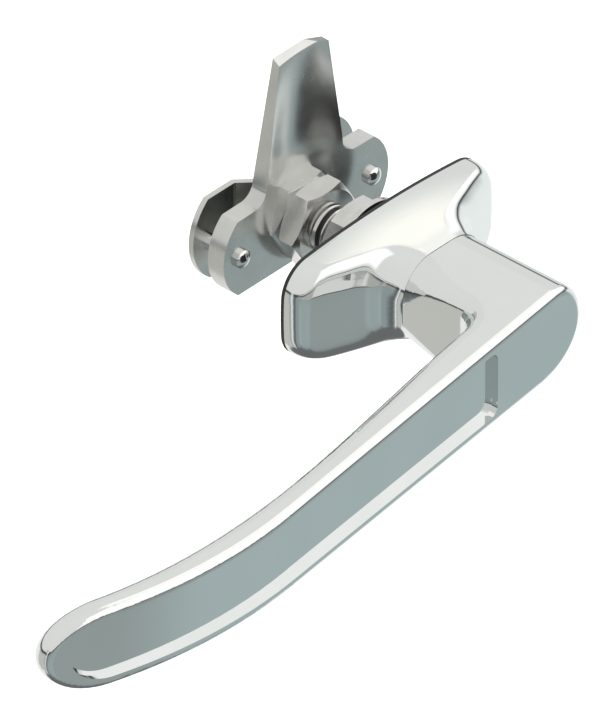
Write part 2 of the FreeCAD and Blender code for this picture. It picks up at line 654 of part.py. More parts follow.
def strap_sheet():
    """Bent sheet seen from above: flat ears, two sloping legs and a flat middle on the cam."""
    far = STRAP_EAR_HALF + 1
    low_x = STRAP_BEND_X - ROD_GAP
    shift = STRAP_THICKNESS * math.tan(math.radians(22.5))
    front = [(-far, STRAP_FRONT), (-STRAP_BEND_X, STRAP_FRONT), (-low_x, CAM_BACK)]
    front += [(-x, y) for x, y in reversed(front)]
    back = [(-far, STRAP_FRONT), (-STRAP_BEND_X + shift, STRAP_FRONT), (-low_x + shift, CAM_BACK)]
    back += [(-x, y) for x, y in reversed(back)]
    back = [(x, y + STRAP_THICKNESS) for x, y in reversed(back)]
    points = [point(x, y, -STRAP_BOTTOM - 1) for x, y in front + back]
    sheet = Part.Face(Part.makePolygon(points + points[:1])).extrude(point(0, 0, STRAP_BOTTOM + STRAP_EAR_TOP + 2))
    inner, outer = [], []
    for edge in sheet.Edges:
        a, b = [v.Point for v in edge.Vertexes]
        if abs(a.z - b.z) < 1 or abs(a.x) > STRAP_BEND_X + 0.01:
            continue
        hollow = abs(a.y - STRAP_FRONT) < 0.01 or abs(a.y - CAM_BACK - STRAP_THICKNESS) < 0.01
        (outer if hollow else inner).append(edge)
    sheet = sheet.makeFillet(STRAP_BEND_RADIUS, outer)
    inner = [e for e in sheet.Edges if is_bend(e)]
    return sheet.makeFillet(STRAP_BEND_RADIUS, inner)


def is_bend(edge):
    a, b = edge.Vertexes[0].Point, edge.Vertexes[-1].Point
    if abs(a.z - b.z) < 1 or abs(a.x) > STRAP_BEND_X + 0.01:
        return False
    return abs(a.y - CAM_BACK) < 0.01 or abs(a.y - STRAP_FRONT - STRAP_THICKNESS) < 0.01


def make_strap():
    start = CAM_BACK - 1

    def at(x, z):
        return point(x, start, z)

    edges = [
        line(at(-STRAP_BOTTOM_HALF, -STRAP_BOTTOM), at(STRAP_BOTTOM_HALF, -STRAP_BOTTOM)),
        arc(at(STRAP_BOTTOM_HALF, -STRAP_BOTTOM), at(STRAP_EAR_HALF, CAM_EAR_WIDEST_Z), at(STRAP_EAR_TOP_HALF, STRAP_EAR_TOP)),
        line(at(STRAP_EAR_TOP_HALF, STRAP_EAR_TOP), at(-STRAP_EAR_TOP_HALF, STRAP_EAR_TOP)),
        arc(at(-STRAP_EAR_TOP_HALF, STRAP_EAR_TOP), at(-STRAP_EAR_HALF, CAM_EAR_WIDEST_Z), at(-STRAP_BOTTOM_HALF, -STRAP_BOTTOM)),
    ]
    plate = prism_y(edges, start, STRAP_FRONT + STRAP_THICKNESS + 1)
    low = [e for e in plate.Edges if is_along_y(e, STRAP_BOTTOM_HALF, -STRAP_BOTTOM)]
    plate = plate.makeFillet(STRAP_CORNER_RADIUS, low)
    body = strap_sheet().common(plate)
    body = body.cut(cylinder_y(CAM_SPIGOT_RADIUS, start, STRAP_FRONT))
    for side in (-1, 1):
        body = body.cut(cylinder_y(ROD_PIN_RADIUS, STRAP_FRONT - 1, STRAP_FRONT + STRAP_THICKNESS + 1, side * ROD_PIN_X))
    return body


def make_rod_pin(side):
    """Domed head in front of the ear, shaft across the rod slot, riveted end behind the strap."""
    x = side * ROD_PIN_X
    head = CAM_FRONT - ROD_PIN_HEAD_HEIGHT
    end = STRAP_FRONT + STRAP_THICKNESS
    ball = (ROD_PIN_HEAD_RADIUS**2 + ROD_PIN_CROWN**2) / (2 * ROD_PIN_CROWN)
    dome = cylinder_y(ROD_PIN_HEAD_RADIUS, head, CAM_FRONT, x).common(Part.makeSphere(ball, point(x, head + ball, 0)))
    peen = Part.makeCone(ROD_PIN_PEEN_RADIUS, ROD_PIN_RADIUS, ROD_PIN_PEEN, point(x, end, 0), Y_AXIS)
    shaft = cylinder_y(ROD_PIN_RADIUS, CAM_FRONT, end, x)
    return shaft.fuse([dome, peen]).removeSplitter()


def main():
    os.makedirs("parts", exist_ok=True)
    parts = {
        "base": make_base(),
        "gasket": make_gasket(),
        "threaded_bush": make_bush(),
        "thrust_washer": make_thrust_washer(),
        "washer": make_washer(),
        "mounting_nut": make_nut(DOOR_THICKNESS + WASHER_THICKNESS, MOUNTING_NUT_TURN),
        "handle": make_handle(),
        "spindle": make_spindle(),
        "o_ring": make_seal(),
        "neck_pin": make_neck_pin(),
        "jam_nut": make_nut(JAM_NUT_START, 0),
        "cam": make_cam(),
        "rear_strap": make_strap(),
        "rod_pin_left": make_rod_pin(-1),
        "rod_pin_right": make_rod_pin(1),
    }
    for name, shape in parts.items():
        print(name, shape.isValid(), len(shape.Solids), round(shape.Volume, 1))
        shape.exportStep("parts/" + name + ".step")


main()
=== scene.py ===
# %% [markdown]
# A cam latch with an L handle, dressed for a product picture. Outside the door sit a flared cover
# plate and the handle, inside it nuts, a cam with two ears, and slots for two locking rods.
# The finished model is loaded from its file; it has two bodies, the base and the handle that turns in it.
# Everything is in metres: the spindle lies on the Y axis, the handle side is -Y and Z is up.

import math

import bmesh
import bpy
from mathutils import Matrix, Vector


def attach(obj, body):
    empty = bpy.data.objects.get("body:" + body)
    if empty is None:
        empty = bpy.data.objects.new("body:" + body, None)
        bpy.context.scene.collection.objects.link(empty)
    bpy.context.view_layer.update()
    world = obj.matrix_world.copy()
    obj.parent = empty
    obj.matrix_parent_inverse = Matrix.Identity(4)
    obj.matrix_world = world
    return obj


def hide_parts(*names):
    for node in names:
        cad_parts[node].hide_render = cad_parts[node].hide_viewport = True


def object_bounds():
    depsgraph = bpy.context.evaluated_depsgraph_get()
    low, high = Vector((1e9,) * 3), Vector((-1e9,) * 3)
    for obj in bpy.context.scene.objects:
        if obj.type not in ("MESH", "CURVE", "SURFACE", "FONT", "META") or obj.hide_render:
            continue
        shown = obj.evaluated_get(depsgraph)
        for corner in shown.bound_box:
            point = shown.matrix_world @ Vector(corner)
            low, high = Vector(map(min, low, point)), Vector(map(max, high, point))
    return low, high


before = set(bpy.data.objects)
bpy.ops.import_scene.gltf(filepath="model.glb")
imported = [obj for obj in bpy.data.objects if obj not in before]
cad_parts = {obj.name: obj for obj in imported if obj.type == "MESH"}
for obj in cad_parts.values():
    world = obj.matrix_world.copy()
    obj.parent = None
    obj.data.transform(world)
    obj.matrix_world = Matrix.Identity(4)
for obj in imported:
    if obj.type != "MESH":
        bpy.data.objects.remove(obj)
cad_low, cad_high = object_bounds()
MM = 0.001


# %% [markdown]
# A finish in Blender is a small net of shader nodes. It could be a flat colour, a painted picture or
# a formula. Formulas are used here, because they need no image and no unwrapped surface, and stay
# sharp at any distance.
# The pattern is read in object coordinates, so it sticks to the part when the handle turns. Noise is
# the usual start: it gives a soft cloud of values between 0 and 1.

# %% Materials, nodes and noise
def material(name):
    """New node material; returns it with its tree and its main shader."""
    mat = bpy.data.materials.new(name)
    mat.use_nodes = True
    return mat, mat.node_tree, mat.node_tree.nodes["Principled BSDF"]


def node(tree, kind, **values):
    made = tree.nodes.new(kind)
    for key, value in values.items():
        setattr(made, key, value)
    return made


def object_coords(tree):
    return node(tree, "ShaderNodeTexCoord").outputs["Object"]


def noise(tree, scale, detail, rough):
    made = node(tree, "ShaderNodeTexNoise")
    made.inputs["Scale"].default_value = scale
    made.inputs["Detail"].default_value = detail
    made.inputs["Roughness"].default_value = rough
    tree.links.new(object_coords(tree), made.inputs["Vector"])
    return made.outputs["Fac"]


# %% [markdown]
# The cloud then has to move something. Most of its values lie near the middle, so a narrow band of
# them is stretched over the wanted range, between two close colours or two degrees of roughness. For
# a fine grain the cloud is taken as a height, which a bump turns into tiny slopes.

# %% Colour, roughness and bump from noise
CLOUD_LOW, CLOUD_HIGH = 0.3, 0.7


def spread(tree, value, low, high):
    made = node(tree, "ShaderNodeMapRange")
    made.inputs["From Min"].default_value = CLOUD_LOW
    made.inputs["From Max"].default_value = CLOUD_HIGH
    made.inputs["To Min"].default_value = low
    made.inputs["To Max"].default_value = high
    tree.links.new(value, made.inputs["Value"])
    return made.outputs["Result"]


def tint(tree, value, dark, light):
    ramp = node(tree, "ShaderNodeValToRGB")
    for step, place, colour in zip(ramp.color_ramp.elements, (CLOUD_LOW, CLOUD_HIGH), (dark, light)):
        step.position = place
        step.color = (*colour, 1.0)
    tree.links.new(value, ramp.inputs["Fac"])
    return ramp.outputs["Color"]


def bump(tree, height, strength, distance):
    made = node(tree, "ShaderNodeBump")
    made.inputs["Strength"].default_value = strength
    made.inputs["Distance"].default_value = distance
    tree.links.new(height, made.inputs["Height"])
    return made.outputs["Normal"]


# %% [markdown]
# The cover plate and the handle are cast zinc with polished chrome. That is nearly a mirror, so the
# roughness is low and the colour a cool light grey. The nuts and the flat washer are duller steel.
# The cam and its strap have a satin surface, which spreads a reflection over a wide band, and the
# rod pins have polished heads.
# A metal gets its look from what it reflects. So the metallic value is one, and the noise moves only
# tint and roughness a little, the way handling and plating do.

# %% Chrome, steel, satin plate and pins
METAL_DETAIL, METAL_ROUGH = 4.0, 0.55
METAL_BUMP_DEPTH = 0.02 * MM


def metal(name, dark, light, roughness, scale, bump_strength=0.0):
    mat, tree, shader = material(name)
    cloud = noise(tree, scale, METAL_DETAIL, METAL_ROUGH)
    tree.links.new(tint(tree, cloud, dark, light), shader.inputs["Base Color"])
    tree.links.new(spread(tree, cloud, *roughness), shader.inputs["Roughness"])
    if bump_strength:
        tree.links.new(bump(tree, cloud, bump_strength, METAL_BUMP_DEPTH), shader.inputs["Normal"])
    shader.inputs["Metallic"].default_value = 1.0
    return mat


CHROME = metal("chrome_plating", (0.765, 0.78, 0.772), (0.79, 0.80, 0.795), (0.035, 0.06), 60.0, 0.02)
STEEL = metal("satin_steel", (0.67, 0.665, 0.65), (0.75, 0.745, 0.73), (0.16, 0.22), 260.0, 0.04)
PLATE = metal("cam_steel", (0.60, 0.60, 0.58), (0.67, 0.67, 0.65), (0.22, 0.28), 180.0)
PIN = metal("polished_pin", (0.74, 0.74, 0.73), (0.82, 0.82, 0.81), (0.08, 0.12), 300.0, 0.05)
print("metals:", [mat.name for mat in (CHROME, STEEL, PLATE, PIN)])


# %% [markdown]
# Some patterns need more than noise: a screw thread, or a window at one side of a room. They are
# worked out with maths nodes, one node for each sum. Written out in full, that is a long list of
# nodes and links, so three short helpers take a number or a socket and hand back a socket.

# %% Sums on sockets
def math_node(tree, operation, a, b=None):
    made = node(tree, "ShaderNodeMath", operation=operation)
    for place, value in enumerate((a, b)):
        if value is None:
            continue
        if isinstance(value, (int, float)):
            made.inputs[place].default_value = value
        else:
            tree.links.new(value, made.inputs[place])
    return made.outputs["Value"]


def edge_of(tree, value, start, end):
    """0 before start, 1 after end, smooth between."""
    made = node(tree, "ShaderNodeMapRange", interpolation_type="SMOOTHSTEP")
    made.inputs["From Min"].default_value = start
    made.inputs["From Max"].default_value = end
    tree.links.new(value, made.inputs["Value"])
    return made.outputs["Result"]


def split_axes(tree, vector):
    split = node(tree, "ShaderNodeSeparateXYZ")
    tree.links.new(vector, split.inputs["Vector"])
    return [split.outputs[axis] for axis in "XYZ"]


# %% [markdown]
# Bush and spindle carry a coarse M10 thread. It could be cut as geometry, with a turned profile
# pushed along a helix. The solids have plain cylinders there, and so little of the thread shows that
# a bump is enough, which costs no faces.
# On a helix, the length along the axis grows with the angle. So length divided by pitch, plus the
# share of a full turn, has the same value all along a groove, and folding that value up and down
# gives flanks and crests. A mask by radius keeps the thread off the smooth journal.

# %% Screw thread
THREAD_PITCH = 1.5 * MM
THREAD_RADIUS = 5.0 * MM
THREAD_HEIGHT = 0.6 * MM
THREAD_MASK_START, THREAD_MASK_END = THREAD_RADIUS - 0.35 * MM, THREAD_RADIUS - 0.15 * MM


def threaded(name, dark, light):
    """Steel whose outside carries a thread: a helix round the Y axis as bump."""
    mat = metal(name, dark, light, (0.16, 0.24), 300.0)
    tree = mat.node_tree
    x, y, z = split_axes(tree, object_coords(tree))
    squares = [math_node(tree, "MULTIPLY", axis, axis) for axis in (x, z)]
    radius = math_node(tree, "SQRT", math_node(tree, "ADD", *squares))
    outside = edge_of(tree, radius, THREAD_MASK_START, THREAD_MASK_END)
    turns = math_node(tree, "DIVIDE", math_node(tree, "ARCTAN2", x, z), 2 * math.pi)
    rise = math_node(tree, "ADD", math_node(tree, "DIVIDE", y, THREAD_PITCH), turns)
    height = math_node(tree, "MULTIPLY", math_node(tree, "PINGPONG", rise, 0.5), outside)
    shader = tree.nodes["Principled BSDF"]
    tree.links.new(bump(tree, height, 1.0, THREAD_HEIGHT), shader.inputs["Normal"])
    return mat


THREADED = threaded("threaded_steel", (0.55, 0.54, 0.52), (0.64, 0.63, 0.61))
print("turns of thread in 10 mm:", round(10 * MM / THREAD_PITCH, 2))


# %% [markdown]
# The gasket and the seal ring are black rubber, and the thrust washer is dark nylon. Neither is
# metallic. Their colours are close to black, so the roughness and a fine grain make the difference:
# rubber spreads the little light that it reflects, and nylon keeps a slight sheen.

# %% Rubber and nylon
MATT_DETAIL, MATT_ROUGH = 5.0, 0.6
MATT_SPREAD = 0.06
GRAIN_STRENGTH, GRAIN_DEPTH = 0.3, 0.1 * MM


def matt(name, dark, light, rough, scale):
    mat, tree, shader = material(name)
    cloud = noise(tree, scale, MATT_DETAIL, MATT_ROUGH)
    tree.links.new(tint(tree, cloud, dark, light), shader.inputs["Base Color"])
    tree.links.new(spread(tree, cloud, rough - MATT_SPREAD, rough + MATT_SPREAD), shader.inputs["Roughness"])
    tree.links.new(bump(tree, cloud, GRAIN_STRENGTH, GRAIN_DEPTH), shader.inputs["Normal"])
    return mat


RUBBER = matt("seal_rubber", (0.012, 0.012, 0.013), (0.022, 0.022, 0.023), 0.62, 900.0)
NYLON = matt("dark_nylon", (0.02, 0.02, 0.021), (0.035, 0.035, 0.036), 0.45, 700.0)
print("matt:", RUBBER.name, NYLON.name)


# %% [markdown]
# Each piece of the frame arrives with a plain stand-in material. One table says which finish belongs
# to which piece. It could be set piece by piece, but a table shows at a glance what is made of what.

# %% Finishes on the pieces
FINISHES = {
    "base": CHROME, "handle": CHROME, "gasket": RUBBER, "o_ring": RUBBER, "thrust_washer": NYLON,
    "threaded_bush": THREADED, "washer": STEEL, "mounting_nut": STEEL, "spindle": THREADED,
    "jam_nut": STEEL, "neck_pin": PIN, "cam": PLATE, "rear_strap": PLATE, "rod_pin_left": PIN,
    "rod_pin_right": PIN,
}
for name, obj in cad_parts.items():
    for spot in obj.material_slots:
        spot.material = FINISHES[name]
print("finished nodes:", len(FINISHES))


# %% [markdown]
# The cam is one casting: two ears, a tongue and a hexagon boss, with the front hollowed softly round
# the boss and up the tongue. It takes the place of the solid cam, whose hollow has a hard rim. Its
# outline, boss, bore and pin holes have the same sizes, so everything still fits. The last value is
# how far the spigot reaches into the plate, and the slab and the drills past it.

# %% Sizes of the cam
CAM_FRONT, CAM_BACK = 18.9 * MM, 22.9 * MM
CAM_BOTTOM, CAM_BOTTOM_HALF = -8.4 * MM, 19.1 * MM
EAR_CENTRE_X, EAR_TOP, EAR_TOP_HALF = 12.46 * MM, 8.7 * MM, 19.4 * MM
TONGUE_ROOT_HALF, TONGUE_TIP_HALF, TONGUE_TIP = 11.1 * MM, 6.9 * MM, 37.8 * MM
TONGUE_LEAN, TONGUE_TIP_THICKNESS, TONGUE_TAPER_START = 0.6 * MM, 1.8 * MM, 12.0 * MM
TIP_RISE = 1.05 * MM
CORNER_CUT_FRONT_X, CORNER_CUT_BACK_X, CORNER_CUT_DROP = 4.4 * MM, 1.9 * MM, 1.0 * MM
BOSS_START, BOSS_FLATS = 18.4 * MM, 16.0 * MM
SPIGOT_RADIUS, SPIGOT_HEIGHT = 6.0 * MM, 1.7 * MM
ROD_PIN_X, ROD_PIN_RADIUS = 18.5 * MM, 1.65 * MM
SPARE = 1.0 * MM
print("cam height in mm:", round((TONGUE_TIP + TIP_RISE - CAM_BOTTOM) / MM, 2))


# %% [markdown]
# The hollow could be sculpted, or cut with a stretched ball. A ball leaves a hard rim, and a
# sculpture can't be measured. A formula gives a soft hollow whose depth is known everywhere.
# It has two parts. The dish is deepest at the boss and runs out softly on all sides. The valley runs
# up the tongue and gets shallower towards its tip. Adding them would make one too deep where both
# meet, and taking the deeper one would leave a crease, so their third powers are added.

# %% Formula of the hollow
DISH_DEPTH, DISH_CENTRE_Z = 3.1 * MM, 6.0 * MM
DISH_HALF_WIDTH, DISH_HALF_LENGTH = 14.5 * MM, 14.0 * MM
VALLEY_ROOT_DEPTH, VALLEY_TIP_DEPTH = 2.7 * MM, 0.35 * MM
VALLEY_START, VALLEY_FADE = 2.0 * MM, 9.0 * MM
VALLEY_MARGIN, VALLEY_FORM = 0.6 * MM, 1.4
JOIN_POWER = 3


def tongue_half(z):
    """Half the width of the tongue at a height; it goes on narrowing above the tip."""
    share = (z - EAR_TOP) / (TONGUE_TIP - EAR_TOP)
    return TONGUE_ROOT_HALF + (TONGUE_TIP_HALF - TONGUE_ROOT_HALF) * max(share, 0.0)


def share_of(value, start, length):
    """0 before start, 1 after the length, straight between."""
    return min(max((value - start) / length, 0.0), 1.0)


def dish_depth(x, z):
    away = (x / DISH_HALF_WIDTH) ** 2 + ((z - DISH_CENTRE_Z) / DISH_HALF_LENGTH) ** 2
    return DISH_DEPTH * max(1.0 - away, 0.0) ** 2


def valley_depth(x, z):
    up = share_of(z, DISH_CENTRE_Z, TONGUE_TIP - DISH_CENTRE_Z)
    deepest = VALLEY_ROOT_DEPTH * (1.0 - up**2) + VALLEY_TIP_DEPTH
    fade = share_of(z, VALLEY_START, VALLEY_FADE)
    smooth = fade * fade * (3.0 - 2.0 * fade)
    across = max(1.0 - (x / (tongue_half(z) + VALLEY_MARGIN)) ** 2, 0.0) ** VALLEY_FORM
    return deepest * smooth * across


def front_of_cam(x, z):
    """Y of the front: the plate's plane, leaning on the tongue, pushed back by the hollow."""
    lean = TONGUE_LEAN * max(z - TONGUE_TAPER_START, 0.0) / (TONGUE_TIP - TONGUE_TAPER_START)
    hollow = (dish_depth(x, z) ** JOIN_POWER + valley_depth(x, z) ** JOIN_POWER) ** (1 / JOIN_POWER)
    return CAM_FRONT + lean + hollow


print("hollow above the boss in mm:", round((front_of_cam(0.0, 10 * MM) - CAM_FRONT) / MM, 2))


# %% [markdown]
# The formula needs points to move. The grid operator makes a fine flat net of them, one every half
# millimetre. The net is drawn out to a closed slab first, because a boolean wants closed solids, and
# only then is each front point moved. The slab is larger than the cam on all sides, so that the
# outline can be cut cleanly out of it.

# %% Hollowed slab
GRID_STEP = 0.5 * MM
SLAB_HALF_X, SLAB_HALF_Z, SLAB_MIDDLE_Z = 25.0 * MM, 26.0 * MM, 15.0 * MM


def new_object(name, bm):
    mesh = bpy.data.meshes.new(name)
    bm.to_mesh(mesh)
    bm.free()
    obj = bpy.data.objects.new(name, mesh)
    bpy.context.collection.objects.link(obj)
    return obj


def extrude_faces(bm, faces, way):
    made = bmesh.ops.extrude_face_region(bm, geom=faces)
    verts = [part for part in made["geom"] if isinstance(part, bmesh.types.BMVert)]
    bmesh.ops.translate(bm, verts=verts, vec=way)
    return verts


def hollowed_slab():
    """Closed slab over the whole cam, its front pushed back point by point."""
    upright = Matrix.Rotation(math.radians(90), 4, "X") @ Matrix.Diagonal((SLAB_HALF_X, SLAB_HALF_Z, 1, 1))
    bm = bmesh.new()
    bmesh.ops.create_grid(
        bm, x_segments=round(2 * SLAB_HALF_X / GRID_STEP), y_segments=round(2 * SLAB_HALF_Z / GRID_STEP),
        size=1.0, matrix=Matrix.Translation((0, 0, SLAB_MIDDLE_Z)) @ upright)
    front = list(bm.verts)
    back = extrude_faces(bm, bm.faces[:], (0, CAM_BACK, 0))
    for v in front:
        v.co.y = front_of_cam(v.co.x, v.co.z)
    for v in back:
        v.co.y = CAM_BACK + SPARE
    bmesh.ops.recalc_face_normals(bm, faces=bm.faces)
    print("slab volume in cm3:", round(bm.calc_volume() * 1e6, 2))
    return new_object("cam_slab", bm)


# %% [markdown]
# The plate's outline is drawn once, for one half, and mirrored. The ear's arc comes from the spin
# operator, which turns a single point round the arc's centre. The ring of edges is filled with a
# face, and the corner between ear and tongue is rounded with a bevel on its one point. A bevel asks
# how far from the corner the arc starts, which is a share of the radius that depends on the angle.

# %% Outline of the plate
OUTLINE_START = CAM_FRONT - 2.0 * MM
OUTLINE_OVER = TONGUE_TIP + 4.0 * MM
EAR_STEPS = 36
ROOT_FILLET, ROOT_STEPS = 3.2 * MM, 10
FILLET_REACH = 0.87
WELD = 0.001 * MM


def half_outline(bm):
    """Ear arc and tongue side on +X, from the bottom corner to above the tip."""
    low = Vector((CAM_BOTTOM_HALF, OUTLINE_START, CAM_BOTTOM))
    high = Vector((EAR_TOP_HALF, OUTLINE_START, EAR_TOP))
    centre = Vector((EAR_CENTRE_X, OUTLINE_START, (CAM_BOTTOM + EAR_TOP) / 2))
    sweep = (low - centre).angle(high - centre)
    made = bmesh.ops.spin(
        bm, geom=[bm.verts.new(low)], cent=centre, axis=(0, -1, 0), angle=sweep, steps=EAR_STEPS,
        use_merge=False, use_duplicate=False)
    last = [part for part in made["geom_last"] if isinstance(part, bmesh.types.BMVert)][0]
    for x, z in ((TONGUE_ROOT_HALF, EAR_TOP), (tongue_half(OUTLINE_OVER), OUTLINE_OVER)):
        corner = bm.verts.new((x, OUTLINE_START, z))
        bm.edges.new((last, corner))
        last = corner


def is_root(v):
    return abs(abs(v.co.x) - TONGUE_ROOT_HALF) < WELD and abs(v.co.z - EAR_TOP) < WELD


def outline_face(bm):
    half_outline(bm)
    bmesh.ops.mirror(bm, geom=bm.verts[:] + bm.edges[:], axis="X", merge_dist=WELD)
    ends = sorted((v for v in bm.verts if len(v.link_edges) == 1), key=lambda v: v.co.z)
    bm.edges.new(ends[:2])
    bm.edges.new(ends[2:])
    bmesh.ops.contextual_create(bm, geom=bm.edges[:])
    roots = [v for v in bm.verts if is_root(v)]
    bmesh.ops.bevel(
        bm, geom=roots, offset=ROOT_FILLET * FILLET_REACH, offset_type="OFFSET", affect="VERTICES",
        segments=ROOT_STEPS, profile=0.5, material=-1)
    print("outline: faces", len(bm.faces), "points", len(bm.verts), "rounded corners", len(roots))


# %% [markdown]
# The outline's face is drawn up to a prism. The end of the tongue slopes, its back tapers and its
# far corner is cut off. These are plane cuts, which are simpler and more exact than moving points by
# hand. A plane is given by a point on it and by its normal, which is the cross product of two
# directions in the plane. The operator that fills edges closes each cut with a new face.

# %% Ends of the tongue
CUT_TOLERANCE = 1e-7


def cut_away(bm, at, normal):
    """Cuts with a plane and closes the cut; what lies on the normal's side goes."""
    made = bmesh.ops.bisect_plane(
        bm, geom=bm.verts[:] + bm.edges[:] + bm.faces[:], dist=CUT_TOLERANCE, plane_co=at,
        plane_no=normal.normalized(), clear_outer=True)
    rim = [part for part in made["geom_cut"] if isinstance(part, bmesh.types.BMEdge)]
    bmesh.ops.contextual_create(bm, geom=rim)


def outline_prism():
    """The plate seen from the front, drawn up as a prism, with the cut ends of the tongue."""
    bm = bmesh.new()
    outline_face(bm)
    extrude_faces(bm, bm.faces[:], (0, CAM_BACK - OUTLINE_START, 0))
    bmesh.ops.recalc_face_normals(bm, faces=bm.faces)
    tip_front = CAM_FRONT + TONGUE_LEAN
    tip_back = tip_front + TONGUE_TIP_THICKNESS
    slope = Vector((0, TONGUE_TIP_THICKNESS, TIP_RISE))
    cut_away(bm, (0, tip_front, TONGUE_TIP), slope.cross(Vector((-1, 0, 0))))
    taper = Vector((0, tip_back - CAM_BACK, TONGUE_TIP + TIP_RISE - TONGUE_TAPER_START))
    cut_away(bm, (0, CAM_BACK, TONGUE_TAPER_START), taper.cross(Vector((1, 0, 0))))
    front = Vector((CORNER_CUT_FRONT_X, tip_front, TONGUE_TIP))
    along = Vector((TONGUE_TIP_HALF, tip_front, TONGUE_TIP - CORNER_CUT_DROP)) - front
    over = Vector((CORNER_CUT_BACK_X, tip_back, TONGUE_TIP + TIP_RISE)) - front
    cut_away(bm, front, along.cross(over))
    bmesh.ops.recalc_face_normals(bm, faces=bm.faces)
    print("prism volume in cm3:", round(bm.calc_volume() * 1e6, 2))
    return new_object("cam_outline", bm)


# %% [markdown]
# Boss, spigot, bore and pin holes all start as a drum round an axis along Y. The cone operator makes
# every one of them: with two equal radii it gives a cylinder, and with six segments a hexagon.

# %% Drums round the Y axis
ROUND_STEPS = 96


def drum(name, radii, start, end, segments=ROUND_STEPS, x=0.0, turn=0.0):
    """Solid round an axis along Y, with its front and back radius; the turn is in degrees."""
    place = Matrix.Translation((x, (start + end) / 2, 0.0)) @ Matrix.Rotation(math.radians(-90), 4, "X")
    place = place @ Matrix.Rotation(math.radians(turn), 4, "Z")
    bm = bmesh.new()
    bmesh.ops.create_cone(
        bm, cap_ends=True, segments=segments, radius1=radii[0], radius2=radii[1], depth=end - start,
        matrix=place)
    return new_object(name, bm)


# %% [markdown]
# A boolean joins, cuts or intersects two closed solids. In the editor it is a modifier that stays
# live. Here each one is worked out at once and its result kept as the new mesh, so the next boolean
# starts from a plain mesh and the helper solid can go.

# %% Booleans
def join_by(obj, other, operation):
    """Boolean of two closed pieces; the second one goes."""
    mod = obj.modifiers.new("join", "BOOLEAN")
    mod.operation = operation
    mod.solver = "EXACT"
    mod.object = other
    graph = bpy.context.evaluated_depsgraph_get()
    mesh = bpy.data.meshes.new_from_object(obj.evaluated_get(graph))
    obj.modifiers.clear()
    obj.data = mesh
    bpy.data.objects.remove(other)


# %% [markdown]
# A nut or boss has curved marks on its corners because it is turned on a lathe after the hexagon is
# made. They could be drawn as arcs, but here the lathe is copied: a prism with six sides meets a wide
# cone, and only what both share stays.

# %% Hexagon boss
CHAMFER_START, CHAMFER_ANGLE = 0.97 * BOSS_FLATS / 2, 30.0


def hexagon_boss():
    corner = BOSS_FLATS / math.sqrt(3)
    boss = drum("boss", (corner, corner), BOSS_START, CAM_BACK, segments=6, turn=30.0)
    growth = (CAM_BACK - BOSS_START) / math.tan(math.radians(CHAMFER_ANGLE))
    cone = drum("cone", (CHAMFER_START, CHAMFER_START + growth), BOSS_START, CAM_BACK)
    join_by(boss, cone, "INTERSECT")
    print("boss: faces", len(boss.data.polygons))
    return boss


# %% [markdown]
# Now the pieces meet. The outline cuts the casting out of the slab, the boss and the spigot are
# added, and the bore and the two pin holes are drilled.

# %% The casting
def cam_casting():
    plate = hollowed_slab()
    join_by(plate, outline_prism(), "INTERSECT")
    join_by(plate, hexagon_boss(), "UNION")
    spigot = drum("spigot", (SPIGOT_RADIUS, SPIGOT_RADIUS), CAM_BACK - SPARE, CAM_BACK + SPIGOT_HEIGHT)
    join_by(plate, spigot, "UNION")
    end = CAM_BACK + SPIGOT_HEIGHT + SPARE
    join_by(plate, drum("bore", (THREAD_RADIUS, THREAD_RADIUS), BOSS_START - SPARE, end), "DIFFERENCE")
    for side in (-1, 1):
        radii = (ROD_PIN_RADIUS, ROD_PIN_RADIUS)
        hole = drum("hole", radii, CAM_FRONT - SPARE, CAM_BACK + SPARE, x=side * ROD_PIN_X)
        join_by(plate, hole, "DIFFERENCE")
    return plate


cam_piece = cam_casting()
cam_piece.name = "cam_casting"
print("cam casting: faces", len(cam_piece.data.polygons))


# %% [markdown]
# Booleans leave points that lie on each other and slivers without an area. Both are cleaned up, and
# the count of open edges shows whether the casting is still closed. The hollow should look smooth
# and the cut edges crisp. All faces are shaded smooth, and each edge at which the surface turns by
# more than the given angle is marked sharp.

# %% Clean up, shading and body
SHARP_ANGLE = 24.0


def clean_up(obj):
    bm = bmesh.new()
    bm.from_mesh(obj.data)
    bmesh.ops.remove_doubles(bm, verts=bm.verts, dist=WELD)
    bmesh.ops.dissolve_degenerate(bm, edges=bm.edges, dist=WELD)
    open_edges = sum(1 for edge in bm.edges if not edge.is_manifold)
    bm.to_mesh(obj.data)
    bm.free()
    print("clean casting: faces", len(obj.data.polygons), "open edges", open_edges)


clean_up(cam_piece)
for polygon in cam_piece.data.polygons:
    polygon.use_smooth = True
cam_piece.data.set_sharp_from_angle(angle=math.radians(SHARP_ANGLE))
cam_piece.data.materials.clear()
cam_piece.data.materials.append(PLATE)
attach(cam_piece, "handle")
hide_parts("cam")


# %% [markdown]
# The photograph is taken from far away with a long lens, so parallel edges stay nearly parallel. A
# camera without perspective would do too, but a long lens is kinder to the views from other sides,
# because they place the camera by its angle of view.
# The camera looks along the azimuth and elevation measured in the photograph. Its distance follows
# from the lens and from how many pixels of the picture cover one metre, and it is moved sideways
# until the frame's origin, on the spindle's axis, falls on its measured pixel.

# %% Camera at the photograph's angle
AZIMUTH, ELEVATION = -47.76, 35.35
LENS, SENSOR_WIDTH = 1350.0, 36.0
PIXELS_PER_METRE = 5278.0
IMAGE_WIDTH, IMAGE_HEIGHT = 600, 720
ORIGIN_ACROSS, ORIGIN_DOWN = 380.0, 254.8
NEAREST, FURTHEST = 1.0, 100.0


def towards(azimuth, elevation):
    """Direction from the latch; azimuth 0 is the handle side and 90 is +X, in degrees."""
    a, e = math.radians(azimuth), math.radians(elevation)
    return Vector((math.sin(a) * math.cos(e), -math.cos(a) * math.cos(e), math.sin(e)))


